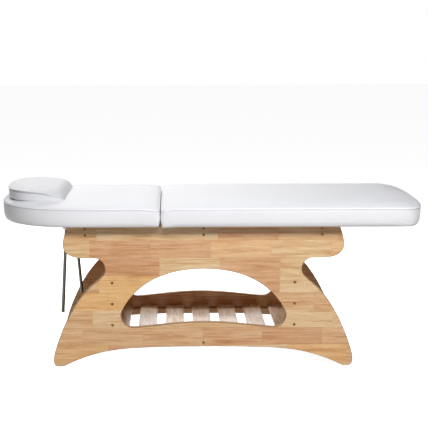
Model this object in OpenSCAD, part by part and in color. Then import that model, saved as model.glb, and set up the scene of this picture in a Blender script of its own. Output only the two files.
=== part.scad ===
// Treatment bed for a salon or spa: a wooden base with two shaped side panels and a slatted
// shelf, a fixed seat cushion, a hinged backrest with two prop legs, and a head pillow.
// +X runs from the head to the foot, +Y across the bed, +Z up. The origin lies on the floor,
// under the middle of the whole bed.

/* [Base] */
// Length of the side panels over the feet
base_l = 1342; // [1200:1:1500]
// Width over the two side panels
base_w = 595; // [480:1:640]
// Height of the side panels
base_h = 643; // [560:1:720]
// Thickness of the wooden boards
board_t = 25; // [20:0.5:30]
// Height of the three cross rails
rail_h = 58; // [50:1:70]
// Distance from the middle to the head and foot cross rails
rail_x = 522; // [500:1:530]
// Distance from the middle to the outer face of an end board
end_board_x = 418; // [400:1:430]
// Height of the lower edge of the end boards
end_board_z = 167; // [160:1:180]
// Height of an end board from edge to edge
end_board_h = 241; // [200:1:244]
// Radius of the eased edges of rails, boards and slats
ease_r = 2; // [1:0.5:4]

/* [Shelf] */
// Height of the upper face of the slats
shelf_z = 136; // [130:1:150]
// Width of a slat
slat_w = 85; // [60:1:95]
// Thickness of a slat
slat_t = 15; // [12:1:18]
// Distance from slat to slat, middle to middle
slat_pitch = 126.5; // [110:0.5:130]
// Number of slats
slat_count = 7; // [5:2:7]
// Gap between the end of a slat and a side panel
slat_gap = 1; // [0.5:0.5:3]
// Length of the cleats under the slats
cleat_l = 860; // [850:1:880]
// Height of the cleats
cleat_h = 24; // [20:1:26]

/* [Top] */
// Length of the whole bed
bed_l = 1888; // [1860:1:1960]
// Width of the cushions over the piping
bed_w = 740; // [700:1:780]
// Distance from the middle of the base to the head end
head_reach = 912; // [890:1:930]
// Distance from the middle of the base to the hinge, towards the head
hinge_x = 190; // [170:1:200]
// Thickness of the plywood boards in the cushions
ply_t = 12; // [9:1:15]
// Gap between the two cushions, on each side of the hinge
cushion_gap = 4; // [3:0.5:8]
// Height of the piping above the lower edge of a cushion
piping_h = 76; // [60:1:90]
// Rise of the crown above the piping
crown_h = 22; // [10:1:35]
// How far the sides draw in from the piping down to the lower edge
side_draw = 21; // [16:1:30]
// Radius of the piping
piping_r = 3; // [2:0.5:4]
// Length of the rounded foot end
foot_round_l = 113; // [80:1:160]
// How far the long sides pull in between their corners
side_waist = 4; // [0:0.5:8]
// Corner radius of both cushions at the hinge
hinge_corner_r = 24; // [15:1:30]
// Length of the rounded head end
head_round_l = 400; // [340:1:420]
// Length of the end of the backrest cushion that folds at the hinge
fold_l = 100; // [98:1:120]

/* [Pillow] */
// Length of the pillow along the bed
pillow_l = 267; // [262:1:290]
// Width of the pillow across the bed
pillow_w = 472; // [420:1:520]
// Height of the pillow at its crown
pillow_h = 51; // [46:1:70]
// Height of the seam on the head side
pillow_seam_h = 38; // [28:1:40]
// Distance from the head end of the bed to the pillow
pillow_inset = 27; // [12:1:40]

/* [Props] */
// Outside radius of a prop tube
prop_r = 7.5; // [6:0.5:9]
// Wall of a prop tube
prop_wall = 1.5; // [1:0.25:2.5]
// Length of a prop from its pivot to its free end
prop_l = 400; // [380:1:405]
// Distance from the hinge to the prop pivots, along the backrest
prop_reach = 424; // [420:1:430]
// Depth of the prop pivots below the plywood board
prop_drop = 21; // [20:0.5:24]
// Distance of each prop from the middle line
prop_y = 184; // [150:1:200]
// Angle of the front prop towards the head, hanging
front_prop_angle = 3.3; // [0:0.1:6]
// Angle of the back prop towards the foot, hanging
back_prop_angle = 4.7; // [0:0.1:6]

/* [Hidden] */

$fn = 48;
// Steps in each curve of the panel outline, in a rounded corner and in the head end
curve_steps = 8;
corner_steps = 6;
head_steps = 22;
side_steps = 5;
// Bulge of the long sides far from the piping, as a share of the waist
side_bulge_share = 0.125;

// Places along the bed, seen from the middle of the base
shift_x = bed_l / 2 - (bed_l - head_reach);
foot_reach = bed_l - head_reach;
half_l = base_l / 2;
inner_w = base_w - 2 * board_t;
inner_y = inner_w / 2;

// Outline of half a side panel, from the top corner round the rail end, the notch, the leg and
// the foot to the middle of the arch. Each row is one curve of four control points, as shares
// of half the length and of the height.
edge_shares = [
    [[0.891, 1], [0.909, 0.952], [0.923, 0.91], [0.925, 0.868]],
    [[0.925, 0.868], [0.93, 0.809], [0.879, 0.77], [0.79, 0.77]],
    [[0.715, 0.77], [0.675, 0.765], [0.651, 0.731], [0.65, 0.695]],
    [[0.65, 0.695], [0.648, 0.661], [0.674, 0.635], [0.705, 0.608]],
    [[0.705, 0.608], [0.844, 0.501], [0.943, 0.272], [0.987, 0.118]],
    [[0.987, 0.118], [0.994, 0.09], [1, 0.065], [1, 0.044]],
    [[1, 0.044], [1, 0.016], [0.988, 0], [0.969, 0]],
    [[0.934, 0], [0.879, 0.031], [0.745, 0.096], [0.59, 0.118]],
    [[0.59, 0.118], [0.462, 0.137], [0.224, 0.141], [0, 0.141]]];
// Outline of half the opening, from the middle of its top round to the middle of its sill
opening_shares = [
    [[0, 0.694], [0.35, 0.694], [0.499, 0.505], [0.548, 0.378]],
    [[0.548, 0.378], [0.548, 0.319], [0.514, 0.28], [0.461, 0.28]],
    [[0.461, 0.28], [0.35, 0.286], [0.179, 0.317], [0, 0.317]]];

// Bolts: a sunk head, a shank, and the pockets that they sit in
bolt_head_r = 5;
bolt_head_h = 5;
bolt_pocket_r = 6;
bolt_pocket_d = 7;
bolt_shank_r = 3;
bolt_slack = 0.1;
bolt_grip = 32;
cleat_bolt_grip = 18;
bolt_key_r = 2.9;
bolt_key_d = 3;
bolt_head_z_shares = [0.1, 0.5, 0.9];
end_bolt_x = end_board_x - board_t / 2;
rail_bolt_drop = 14;
rail_z = base_h - rail_h;

// Slats, cleats and their screws
slat_l = inner_w - 2 * slat_gap;
cleat_z = shelf_z - slat_t - cleat_h;
cleat_w = board_t;
screw_r = 1.75;
screw_head_r = 4;
screw_head_h = 2.5;
screw_pocket_d = 3;
screw_slack = 0.15;
slat_screw_l = 28;
slat_screw_x = 22;

// Plywood boards and cushions
ply_z = base_h;
rest_gap = 0.3;
rim_w = 24;
board_back_set = 30;
board_front_set = 12;
underside_z = base_h + rest_gap;
half_w = bed_w / 2;
head_round_x = -head_reach + head_round_l;
// Superellipse powers of the two ends, and the side's profile from the lower edge to the piping:
// a round lower edge below a side that draws in a little
head_power = 2.5;
foot_power = 3;
side_height_shares = [0, 0.05, 0.16, 0.35, 0.65, 0.92];
side_inset_shares = [1, 0.64, 0.4, 0.2, 0.05, 0.01];
// Crown from the piping inwards, as shares of the crown's width and height
crown_w = 150;
hinge_crown_w = 60;
crown_shares = [0.04, 0.1, 0.2, 0.36, 0.6, 1];
crown_power = 2.3;
board_inset = side_draw + rim_w + rest_gap;

// Pillow: its corners, its rounded end, and its rings as shares of its size
pillow_corner_r = 59;
pillow_round_l = 200;
pillow_power = 2.7;
pillow_seam_power = 4;
pillow_middle_share = 0.57;
pillow_foot_share = 0.04;
pillow_band_shares = [[0.01, 0.12], [0.004, 0.6], [0, 1]];
pillow_crown_w = 0.48;
pillow_crown_power = 1.6;
pillow_crown_shares = [0.05, 0.14, 0.3, 0.6, 1];

// Hinges: two butt hinges of five knuckles each
hinge_y = 180;
hinge_w = 70;
knuckle_r = 4.5;
knuckle_count = 5;
knuckle_gap = 0.4;
hinge_pin_r = 2.5;
pin_slack = 0.05;
leaf_t = 2;
leaf_l = 60;
seat_leaf_l = 40;
leaf_root = 5.5;
hinge_z = base_h - knuckle_r;
leaf_screw_in = 8;
leaf_screw_side = 12;
leaf_screw_pitch = 14;
ply_screw_l = 9;
pin_head_r = 3.6;
pin_head_h = 1.5;

// Props, their brackets and pivots
pivot_x = -hinge_x - prop_reach;
pivot_z = base_h - prop_drop;
bracket_l = 48;
bracket_plate_w = 56;
bracket_t = 2;
ear_gap = 17;
ear_r = 18;
pivot_r = 4;
prop_tail = 10;
pivot_head_r = 6.5;
pivot_head_h = 5;
bracket_screw_x = 16;
bracket_screw_y = 19;

// Angle brackets that hold the seat board on its rails
angle_w = 30;
angle_leg = 30;
angle_t = 2;
angle_y = 150;
angle_screw_in = 18;

// Wood and other colours
wood = [0.82, 0.64, 0.42];
wood_pale = [0.87, 0.72, 0.58];
vinyl = [0.94, 0.94, 0.96];
steel = [0.45, 0.45, 0.47];
dark_steel = [0.2, 0.19, 0.18];
plywood = [0.78, 0.66, 0.47];

// Helper shapes

// Point at share t of a curve with four control points
function curve_point(p, t) = pow(1 - t, 3) * p[0] + 3 * pow(1 - t, 2) * t * p[1]
    + 3 * (1 - t) * t * t * p[2] + pow(t, 3) * p[3];
// Points along a row of curves, in real lengths
function curve_points(rows) = [for (row = rows, i = [0 : curve_steps])
    let (q = curve_point(row, i / curve_steps)) [q[0] * half_l, q[1] * base_h]];
// The list without points that repeat the one before
function distinct(pts) = [for (i = [0 : len(pts) - 1])
    if (i == 0 || norm(pts[i] - pts[max(i - 1, 0)]) > board_t / 1000) pts[i]];
function reversed(pts) = [for (i = [len(pts) - 1 : -1 : 0]) pts[i]];
function mirrored(pts) = [for (p = pts) [-p[0], p[1]]];
// A closed outline from its half on the +X side: the mirrored half follows in reverse
function both_halves(pts) = concat(pts, [for (p = reversed(mirrored(pts)))
    if (abs(p[0]) > board_t / 1000) p]);

// A bar with eased long edges, its length along +Z of the child frame
module eased_bar(w, h, l) {
    linear_extrude(l) {
        square([w - 2 * ease_r, h], center = true);
        square([w, h - 2 * ease_r], center = true);
        for (sx = [-1, 1], sy = [-1, 1])
            translate([sx * (w / 2 - ease_r), sy * (h / 2 - ease_r)]) circle(ease_r);
    }
}

// The same bar lying across the bed, between the side panels
module cross_bar(x, z, w, h, l) {
    translate([x, l / 2, z + h / 2]) rotate([90, 0, 0]) eased_bar(w, h, l);
}

// Everything is drawn from the middle of the base, and moved to the middle of the bed
module placed() {
    translate([shift_x, 0, 0]) children();
}

// Side panels

module panel_outline() {
    difference() {
        polygon(both_halves(distinct(curve_points(edge_shares))));
        polygon(both_halves(distinct(curve_points(opening_shares))));
    }
}

// Bolt places on a side panel as [x, z, grip]
bolt_spots = concat(
    [for (side = [-1, 1], share = bolt_head_z_shares)
        [side * end_bolt_x, end_board_z + share * end_board_h, bolt_grip]],
    [for (place = [-1, 0, 1], z = [rail_z + rail_h / 2 - rail_bolt_drop,
        rail_z + rail_h / 2 + rail_bolt_drop]) [place * rail_x, z, bolt_grip]],
    [[0, cleat_z + cleat_h / 2, cleat_bolt_grip]]);

// The wooden side panel on one side, side = -1 at the front and 1 at the back
module side_panel(side) {
    color(wood) placed() difference() {
        translate([0, side * (inner_y + board_t / 2) + board_t / 2, 0]) rotate([90, 0, 0])
            linear_extrude(board_t) panel_outline();
        for (spot = bolt_spots) bolt_space(side, spot, bolt_shank_r + bolt_slack, true);
    }
}

// Room for one bolt: the shank's hole and, in the panel, the pocket of the head
module bolt_space(side, spot, r, pocket) {
    face_y = side * base_w / 2;
    depth = board_t + spot[2];
    translate([spot[0], face_y, spot[1]]) rotate([side * 90, 0, 0]) {
        cylinder(h = depth, r = r);
        if (pocket) translate([0, 0, -bolt_pocket_d]) cylinder(h = 2 * bolt_pocket_d,
            r = bolt_pocket_r);
    }
}

// One bolt: a round head with a hexagon key hole, sunk in the panel, and its shank
module panel_bolt(side, spot) {
    face_y = side * base_w / 2;
    depth = board_t - bolt_pocket_d + spot[2];
    translate([spot[0], face_y, spot[1]]) rotate([side * 90, 0, 0])
        translate([0, 0, bolt_pocket_d]) difference() {
            union() {
                translate([0, 0, -bolt_head_h]) cylinder(h = bolt_head_h, r = bolt_head_r);
                cylinder(h = depth, r = bolt_shank_r);
            }
            translate([0, 0, -bolt_head_h - bolt_key_d]) cylinder(h = 2 * bolt_key_d,
                r = bolt_key_r, $fn = 6);
        }
}

module front_side_panel() { side_panel(-1); }
module back_side_panel() { side_panel(1); }

module front_panel_bolts() {
    color(dark_steel) placed() for (spot = bolt_spots) panel_bolt(-1, spot);
}
module back_panel_bolts() {
    color(dark_steel) placed() for (spot = bolt_spots) panel_bolt(1, spot);
}

// All bolt holes, to be taken out of boards, rails and cleats
module bolt_holes() {
    for (side = [-1, 1], spot = bolt_spots)
        bolt_space(side, spot, bolt_shank_r + bolt_slack, false);
}

// End boards, cross rails and shelf

module end_board(side) {
    color(wood) placed() difference() {
        cross_bar(side * end_bolt_x, end_board_z, board_t, end_board_h, inner_w);
        bolt_holes();
    }
}
module head_end_board() { end_board(-1); }
module foot_end_board() { end_board(1); }

module cross_rail(place) {
    color(wood) placed() difference() {
        cross_bar(place * rail_x, rail_z, board_t, rail_h, inner_w);
        bolt_holes();
        angle_rail_screws() cylinder(h = ply_screw_l + angle_t, r = screw_r + screw_slack);
    }
}
module head_cross_rail() { cross_rail(-1); }
module middle_cross_rail() { cross_rail(0); }
module foot_cross_rail() { cross_rail(1); }

// A cleat on the inner face of a side panel, which carries the ends of the slats
module cleat(side) {
    color(wood_pale) placed() difference() {
        translate([-cleat_l / 2, side * (inner_y - cleat_w / 2), cleat_z + cleat_h / 2])
            rotate([90, 0, 90]) eased_bar(cleat_w, cleat_h, cleat_l);
        bolt_holes();
        slat_screw_spots() cylinder(h = slat_screw_l, r = screw_r + screw_slack);
    }
}
module shelf_front_cleat() { cleat(-1); }
module shelf_back_cleat() { cleat(1); }

// Each screw of the slats, pointing down from the bottom of its pocket
module slat_screw_spots() {
    for (i = [1 : slat_count], side = [-1, 1])
        translate([slat_x(i) + slat_screw_x, side * (inner_y - cleat_w / 2),
            shelf_z - screw_pocket_d])
            rotate([180, 0, 0]) children();
}
function slat_x(i) = (i - (slat_count + 1) / 2) * slat_pitch;

module shelf_slat(i) {
    if (i <= slat_count) color(wood_pale) placed() difference() {
        cross_bar(slat_x(i), shelf_z - slat_t, slat_w, slat_t, slat_l);
        slat_screw_spots() {
            cylinder(h = slat_t, r = screw_r + screw_slack);
            translate([0, 0, -screw_pocket_d]) cylinder(h = screw_pocket_d,
                r = screw_head_r + screw_slack);
        }
    }
}
module shelf_slat_1() { shelf_slat(1); }
module shelf_slat_2() { shelf_slat(2); }
module shelf_slat_3() { shelf_slat(3); }
module shelf_slat_4() { shelf_slat(4); }
module shelf_slat_5() { shelf_slat(5); }
module shelf_slat_6() { shelf_slat(6); }
module shelf_slat_7() { shelf_slat(7); }

// A wood screw with a flat head, its shank along +Z from the seat of the head
module wood_screw(l) {
    translate([0, 0, -screw_head_h]) difference() {
        cylinder(h = screw_head_h, r = screw_head_r);
        for (turn = [0, 90]) rotate([0, 0, turn]) translate([0, 0, screw_head_h / 4])
            cube([screw_head_r, screw_r / 2, screw_head_h], center = true);
    }
    cylinder(h = l, r = screw_r);
}
module slat_screws() {
    color(steel) placed() slat_screw_spots() wood_screw(slat_screw_l - screw_head_h);
}

// Plan of the cushions. Every ring of a cushion is this plan, drawn in by an inset all round
// and by an inset of its own at the hinge.

// A quarter arc of a corner with centre c, from angle a0 through 90 degrees
function corner_arc(c, r, a0) = [for (i = [0 : corner_steps])
    let (a = a0 + 90 * i / corner_steps) [c[0] + r * cos(a), c[1] + r * sin(a)]];

// How far a ring at an inset is pulled in at the middle of a long side: most at the piping, while
// the rings far from it bulge a little
function side_pull(inset) = side_waist
    * (max(1 - max(inset, 0) / side_draw, 0) * (1 + side_bulge_share) - side_bulge_share);

// Points along a long side from x0 to x1, pulled in between its ends; side = -1 or 1
function long_side(x0, x1, inset, side) = [for (i = [1 : side_steps - 1])
    let (t = i / side_steps) [x0 + t * (x1 - x0),
        side * (half_w - inset - side_pull(inset) * sin(180 * t))]];

// Seat: small corners at the hinge and a rounded foot end
function seat_plan(inset, hinge_inset) =
    let (x0 = -hinge_x + cushion_gap + hinge_inset,
        xc = foot_reach - foot_round_l - inset / 2,
        y = half_w - inset)
    concat(
        corner_arc([x0 + hinge_corner_r, hinge_corner_r - y], hinge_corner_r, 180),
        long_side(x0 + hinge_corner_r, xc, inset, -1),
        round_end(xc, foot_round_l - inset / 2, y, foot_power, 1),
        long_side(xc, x0 + hinge_corner_r, inset, 1),
        corner_arc([x0 + hinge_corner_r, y - hinge_corner_r], hinge_corner_r, 90));

// Half a superellipse with centre xc and half axes a and b, anticlockwise round the end that
// side points to: 1 for the foot, -1 for the head
function round_end(xc, a, b, power, side) = [for (i = [0 : head_steps])
    let (t = 90 + 180 * i / head_steps)
    [xc + side * a * pow(abs(cos(t)), 2 / power),
        -side * b * sign(sin(t)) * pow(abs(sin(t)), 2 / power)]];

// Backrest: small corners at the hinge and a rounded head end
function backrest_plan(inset, hinge_inset) =
    let (x1 = -hinge_x - cushion_gap - hinge_inset,
        xc = head_round_x + inset / 2,
        y = half_w - inset)
    concat(
        long_side(xc, x1 - hinge_corner_r, inset, -1),
        corner_arc([x1 - hinge_corner_r, hinge_corner_r - y], hinge_corner_r, -90),
        corner_arc([x1 - hinge_corner_r, y - hinge_corner_r], hinge_corner_r, 0),
        long_side(x1 - hinge_corner_r, xc, inset, 1),
        round_end(xc, head_round_l - inset / 2, y, head_power, -1));

// A solid through rings of points, each with the same number of points, closed at both ends
module ring_loft(rings) {
    n = len(rings[0]);
    m = len(rings);
    polyhedron(
        points = [for (ring = rings) each ring],
        faces = concat(
            [[for (i = [0 : n - 1]) i]],
            [for (k = [0 : m - 2], i = [0 : n - 1])
                [k * n + i, (k + 1) * n + (i + 1) % n, k * n + (i + 1) % n]],
            [for (k = [0 : m - 2], i = [0 : n - 1])
                [k * n + i, (k + 1) * n + i, (k + 1) * n + (i + 1) % n]],
            [[for (i = [n - 1 : -1 : 0]) (m - 1) * n + i]]),
        convexity = 4);
}

// Profile of a cushion as [inset, height, inset at the hinge]: the recess for its board, the
// lower edge, the side that draws in below the piping, the piping, and the crown
function profile(rim) = concat(
    [[side_draw + rim_w, ply_t, rim], [side_draw + rim_w, 0, rim]],
    [for (i = [0 : len(side_height_shares) - 1])
        [side_draw * side_inset_shares[i], piping_h * side_height_shares[i], 0]],
    [[0, piping_h - piping_r, 0], [-piping_r / 2, piping_h, -piping_r / 2],
        [piping_r / 2, piping_h + piping_r, piping_r / 2]],
    [for (s = crown_shares)
        [crown_w * s, piping_h + crown_h * pow(1 - pow(1 - s, crown_power), 1 / crown_power),
            hinge_crown_w * s]]);

function lifted(pts, z) = [for (p = pts) [p[0], p[1], z]];

module seat_board() {
    color(plywood) placed() difference() {
        translate([0, 0, ply_z]) linear_extrude(ply_t)
            polygon(seat_plan(board_inset, board_front_set - cushion_gap));
        angle_screw_holes();
        hinge_screw_holes(1);
    }
}

module seat_cushion() {
    color(vinyl) placed() ring_loft([for (p = profile(board_front_set - cushion_gap - rest_gap))
        lifted(seat_plan(p[0], p[2]), underside_z + p[1])]);
}

module backrest_board() {
    color(plywood) placed() difference() {
        translate([0, 0, ply_z]) linear_extrude(ply_t)
            polygon(backrest_plan(board_inset, board_back_set - cushion_gap));
        hinge_screw_holes(-1);
        for (side = [-1, 1]) bracket_screw_spots(side)
            cylinder(h = ply_screw_l + bracket_t, r = screw_r + screw_slack);
    }
}

module whole_backrest_cushion() {
    ring_loft([for (p = profile(board_back_set - cushion_gap - rest_gap))
        lifted(backrest_plan(p[0], p[2]), underside_z + p[1])]);
}

// The slice of the backrest cushion that folds when the backrest rises
module fold_slice() {
    translate([-hinge_x - cushion_gap - fold_l, -bed_w, 0]) cube([2 * fold_l, 2 * bed_w,
        2 * base_h]);
}
module backrest_cushion() {
    color(vinyl) placed() difference() {
        whole_backrest_cushion();
        fold_slice();
    }
}
module backrest_cushion_fold() {
    color(vinyl) placed() intersection() {
        whole_backrest_cushion();
        fold_slice();
    }
}

// Pillow: straight on the neck side, rounded on the head side, with a side band that is high at
// the head and runs out to nothing at the neck

pillow_x0 = -head_reach + pillow_inset;
pillow_x1 = pillow_x0 + pillow_l;
pillow_z = underside_z + piping_h + crown_h + rest_gap;
pillow_xm = pillow_x0 + pillow_middle_share * pillow_l;
function pillow_plan(k) =
    let (y = pillow_w / 2 * (1 - k), r = pillow_corner_r * (1 - k),
        x1 = pillow_xm + (pillow_x1 - pillow_xm) * (1 - k),
        a = pillow_round_l * (1 - k),
        xc = pillow_xm + (pillow_x0 + pillow_round_l - pillow_xm) * (1 - k))
    concat(
        corner_arc([x1 - r, r - y], r, -90),
        corner_arc([x1 - r, y - r], r, 0),
        round_end(xc, a, y, pillow_power, -1));
function seam_z(p) = let (u = (p[0] - pillow_x0) / pillow_l)
    pillow_seam_h * (1 - pow(max(u, 0), pillow_seam_power)) + piping_r;
module pillow() {
    color(vinyl) placed() ring_loft(concat(
        [lifted(pillow_plan(pillow_foot_share), pillow_z)],
        [for (ring = pillow_band_shares) [for (p = pillow_plan(ring[0]))
            [p[0], p[1], pillow_z + ring[1] * seam_z(p)]]],
        [for (s = pillow_crown_shares) [for (p = pillow_plan(pillow_crown_w * s))
            [p[0], p[1], pillow_z + seam_z(p) + (pillow_h - seam_z(p))
                * pow(1 - pow(1 - s, pillow_crown_power), 1 / pillow_crown_power)]]]));
}

// Hinges

// Each screw of one side's hinge leaves, pointing up, side = 1 on the seat and -1 on the backrest
module hinge_screw_spots(side) {
    l = side > 0 ? seat_leaf_l : leaf_l;
    for (place = [-1, 1], row = [-1, 1], col = [0, 1])
        translate([-hinge_x + side * (l - leaf_screw_in - col * leaf_screw_pitch),
            place * hinge_y + row * (hinge_w / 2 - leaf_screw_side), base_h - leaf_t])
            children();
}
module hinge_screw_holes(side) {
    hinge_screw_spots(side) cylinder(h = ply_screw_l + leaf_t, r = screw_r + screw_slack);
}

// The leaves of both hinges on one side, with their share of the knuckles
module hinge_leaves(side) {
    l = side > 0 ? seat_leaf_l : leaf_l;
    first = side > 0 ? 0 : 1;
    pitch = hinge_w / knuckle_count;
    color(steel) placed() for (place = [-1, 1])
        translate([-hinge_x, place * hinge_y, hinge_z]) difference() {
            union() {
                translate([side > 0 ? leaf_root : -l, -hinge_w / 2, knuckle_r - leaf_t])
                    cube([l - leaf_root, hinge_w, leaf_t]);
                for (i = [first : 2 : knuckle_count - 1])
                    translate([0, (i - knuckle_count / 2) * pitch + knuckle_gap / 2, 0]) {
                        rotate([-90, 0, 0]) cylinder(h = pitch - knuckle_gap, r = knuckle_r);
                        translate([side > 0 ? 0 : -leaf_root - leaf_t, 0, knuckle_r - leaf_t])
                            cube([leaf_root + leaf_t, pitch - knuckle_gap, leaf_t]);
                    }
            }
            translate([0, -hinge_w, 0]) rotate([-90, 0, 0])
                cylinder(h = 2 * hinge_w, r = hinge_pin_r + pin_slack);
            for (row = [-1, 1], col = [0, 1])
                translate([side * (l - leaf_screw_in - col * leaf_screw_pitch),
                    row * (hinge_w / 2 - leaf_screw_side), 0])
                    cylinder(h = knuckle_r + leaf_t, r = screw_r + screw_slack);
        }
}
module hinge_seat_leaves() { hinge_leaves(1); }
module hinge_backrest_leaves() { hinge_leaves(-1); }

// A pin with a low head at each end keeps the knuckles of a hinge together
module hinge_pins() {
    color(steel) placed() for (place = [-1, 1])
        translate([-hinge_x, place * hinge_y, hinge_z]) {
            translate([0, -hinge_w / 2, 0]) rotate([-90, 0, 0])
                cylinder(h = hinge_w, r = hinge_pin_r);
            for (turn = [90, -90]) rotate([turn, 0, 0])
                translate([0, 0, hinge_w / 2 - knuckle_gap / 2])
                    cylinder(h = pin_head_h, r = pin_head_r);
        }
}

module hinge_seat_screws() {
    color(steel) placed() hinge_screw_spots(1) wood_screw(ply_screw_l);
}
module hinge_backrest_screws() {
    color(steel) placed() hinge_screw_spots(-1) wood_screw(ply_screw_l);
}

// Props: a U-shaped bracket under the board, a pivot bolt, and a steel tube with an open end

module bracket_screw_spots(side) {
    for (sx = [-1, 1], sy = [-1, 1])
        translate([pivot_x + sx * bracket_screw_x, side * prop_y + sy * bracket_screw_y,
            base_h - bracket_t]) children();
}

module prop_bracket(side) {
    color(steel) placed() difference() {
        union() {
            translate([pivot_x - bracket_l / 2, side * prop_y - bracket_plate_w / 2,
                base_h - bracket_t]) cube([bracket_l, bracket_plate_w, bracket_t]);
            for (sy = [-1, 1])
                translate([pivot_x, side * prop_y + sy * (ear_gap + bracket_t) / 2
                    + bracket_t / 2, 0]) rotate([90, 0, 0]) linear_extrude(bracket_t) {
                    translate([0, pivot_z]) circle(ear_r);
                    polygon([[-ear_r, pivot_z], [ear_r, pivot_z],
                        [bracket_l / 2, base_h - bracket_t], [-bracket_l / 2, base_h - bracket_t]]);
                }
        }
        translate([pivot_x, side * prop_y + bracket_plate_w, pivot_z]) rotate([90, 0, 0])
            cylinder(h = 2 * bracket_plate_w, r = pivot_r + pin_slack);
        bracket_screw_spots(side) translate([0, 0, -bracket_t])
            cylinder(h = 3 * bracket_t, r = screw_r + screw_slack);
    }
}
module front_prop_bracket() { prop_bracket(-1); }
module back_prop_bracket() { prop_bracket(1); }

module prop_bracket_screws() {
    color(steel) placed() for (side = [-1, 1]) bracket_screw_spots(side) wood_screw(ply_screw_l);
}

// The pivot: a bolt through both ears and the tube, with a hexagon head and a nut
module prop_pin(side) {
    grip = ear_gap / 2 + bracket_t;
    color(steel) placed() translate([pivot_x, side * prop_y, pivot_z]) {
        translate([0, grip + pivot_head_h, 0]) rotate([90, 0, 0])
            cylinder(h = 2 * (grip + pivot_head_h), r = pivot_r);
        for (turn = [90, -90]) rotate([turn, 0, 0]) translate([0, 0, grip])
            cylinder(h = pivot_head_h, r = pivot_head_r, $fn = 6);
    }
}
module front_prop_pin() { prop_pin(-1); }
module back_prop_pin() { prop_pin(1); }

// Hanging from its pivot, leaning by an angle that turns its free end towards the head
module prop_tube(side, lean) {
    color(steel) placed() translate([pivot_x, side * prop_y, pivot_z]) rotate([0, lean, 0])
        difference() {
            translate([0, 0, -prop_l]) cylinder(h = prop_l + prop_tail, r = prop_r);
            translate([0, 0, -2 * prop_l]) cylinder(h = 3 * prop_l, r = prop_r - prop_wall);
            translate([0, 2 * prop_r, 0]) rotate([90, 0, 0])
                cylinder(h = 4 * prop_r, r = pivot_r + pin_slack);
        }
}
module front_prop_tube() { prop_tube(-1, front_prop_angle); }
module back_prop_tube() { prop_tube(1, -back_prop_angle); }

// Angle brackets between the seat board and the middle and foot cross rails

module seat_brackets() {
    color(steel) placed() for (place = [[0, 1], [1, -1]], sy = [-1, 1])
        translate([place[0] * rail_x + place[1] * board_t / 2, sy * angle_y, base_h])
            mirror([place[1] > 0 ? 0 : 1, 0, 0]) difference() {
                union() {
                    translate([0, -angle_w / 2, -angle_t]) cube([angle_leg, angle_w, angle_t]);
                    translate([0, -angle_w / 2, -angle_leg]) cube([angle_t, angle_w, angle_leg]);
                }
                translate([angle_screw_in, 0, -angle_leg]) cylinder(h = 2 * angle_leg,
                    r = screw_r + screw_slack);
                translate([-angle_leg, 0, -angle_screw_in]) rotate([0, 90, 0])
                    cylinder(h = 2 * angle_leg, r = screw_r + screw_slack);
            }
}
// Screws up into the seat board, and holes for them
module angle_board_screws() {
    for (place = [[0, 1], [1, -1]], sy = [-1, 1])
        translate([place[0] * rail_x + place[1] * (board_t / 2 + angle_screw_in),
            sy * angle_y, base_h - angle_t]) children();
}
// Screws sideways into the rails
module angle_rail_screws() {
    for (place = [[0, 1], [1, -1]], sy = [-1, 1])
        translate([place[0] * rail_x + place[1] * (board_t / 2 + angle_t),
            sy * angle_y, base_h - angle_screw_in]) rotate([0, -place[1] * 90, 0]) children();
}
module angle_screw_holes() {
    angle_board_screws() cylinder(h = ply_screw_l + angle_t, r = screw_r + screw_slack);
}
module seat_bracket_screws() {
    color(steel) placed() {
        angle_board_screws() wood_screw(ply_screw_l);
        angle_rail_screws() wood_screw(ply_screw_l + angle_t);
    }
}

front_side_panel();
back_side_panel();
head_end_board();
foot_end_board();
head_cross_rail();
middle_cross_rail();
foot_cross_rail();
shelf_front_cleat();
shelf_back_cleat();
shelf_slat_1();
shelf_slat_2();
shelf_slat_3();
shelf_slat_4();
shelf_slat_5();
shelf_slat_6();
shelf_slat_7();
slat_screws();
front_panel_bolts();
back_panel_bolts();
seat_board();
seat_brackets();
seat_bracket_screws();
seat_cushion();
hinge_seat_leaves();
hinge_pins();
hinge_seat_screws();
hinge_backrest_leaves();
hinge_backrest_screws();
backrest_board();
backrest_cushion();
backrest_cushion_fold();
front_prop_bracket();
back_prop_bracket();
prop_bracket_screws();
front_prop_pin();
back_prop_pin();
front_prop_tube();
back_prop_tube();
pillow();
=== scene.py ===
import bpy
import numpy as np
from mathutils import Matrix, Vector
from mathutils.geometry import tessellate_polygon


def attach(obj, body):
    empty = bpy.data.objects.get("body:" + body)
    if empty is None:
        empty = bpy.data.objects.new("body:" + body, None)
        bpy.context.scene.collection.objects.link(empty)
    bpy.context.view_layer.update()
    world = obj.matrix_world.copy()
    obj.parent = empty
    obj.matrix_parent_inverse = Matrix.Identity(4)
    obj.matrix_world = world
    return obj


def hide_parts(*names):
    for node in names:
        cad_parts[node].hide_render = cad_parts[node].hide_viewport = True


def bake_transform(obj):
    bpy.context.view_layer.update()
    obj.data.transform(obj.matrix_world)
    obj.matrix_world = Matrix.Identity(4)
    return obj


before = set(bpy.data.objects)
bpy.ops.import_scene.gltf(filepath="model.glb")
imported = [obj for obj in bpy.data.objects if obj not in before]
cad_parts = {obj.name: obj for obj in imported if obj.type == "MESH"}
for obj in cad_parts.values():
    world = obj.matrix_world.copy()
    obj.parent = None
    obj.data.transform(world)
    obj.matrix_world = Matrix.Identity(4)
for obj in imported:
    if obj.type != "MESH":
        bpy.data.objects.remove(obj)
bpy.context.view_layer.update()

# --- Camera ----------------------------------------------------------------------------------
# A long lens a little above the bed, near its head end, looking slightly down. The picture's
# middle lies to the foot side of the lens, so the frame is shifted.

EYE = Vector((-0.1697, -4.8307, 1.4720))
TILT, YAW, ROLL = 0.17014, 0.01186, -0.00137
FOCAL_PIXELS, PICTURE_PIXELS, AXIS_PIXEL, SENSOR_MM = 1050.0, 428.0, 184.55, 36

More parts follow.
